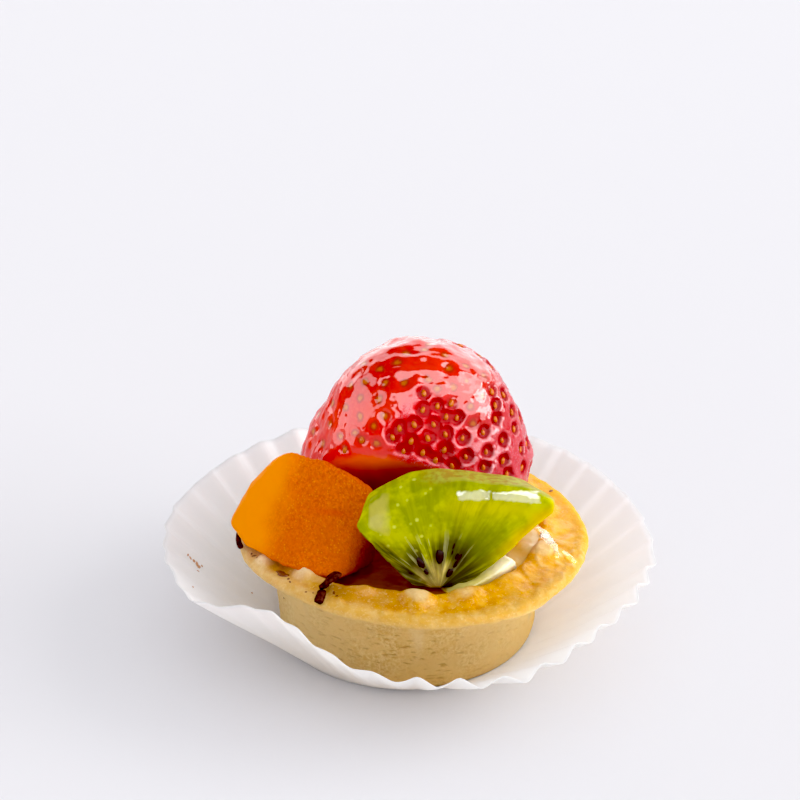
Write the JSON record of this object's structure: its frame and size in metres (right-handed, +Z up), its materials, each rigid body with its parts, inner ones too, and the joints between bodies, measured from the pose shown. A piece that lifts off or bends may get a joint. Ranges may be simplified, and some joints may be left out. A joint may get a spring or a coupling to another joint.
{
  "type": "fruit tart",
  "caption": "Small round fruit tart in a flared, fluted white paper case: a beaded pastry shell of custard with a strawberry, a peach chunk and a kiwi wedge.",
  "frame": {"origin": "on the pastry shell's axis, at the underside of the paper case, on the surface that it stands on", "axes": "+Z up, -Y towards the picture's viewer, +X to the viewer's right"},
  "size_m": [0.0746, 0.0722, 0.0453],
  "materials": {
    "paper": "matt white greaseproof paper",
    "pastry": "baked shortcrust, matt wall, glazed beads",
    "custard": "set custard under clear glaze",
    "strawberry": "ripe red flesh under clear glaze",
    "peach": "wet, fine-grained flesh",
    "kiwi": "wet green flesh under clear glaze"
  },
  "bodies": {
    "root": {"paper_case": "paper", "tart_shell": "pastry", "custard": "custard", "strawberry": "strawberry", "peach_chunk": "peach", "kiwi_wedge": "kiwi"}
  },
  "joints": []
}
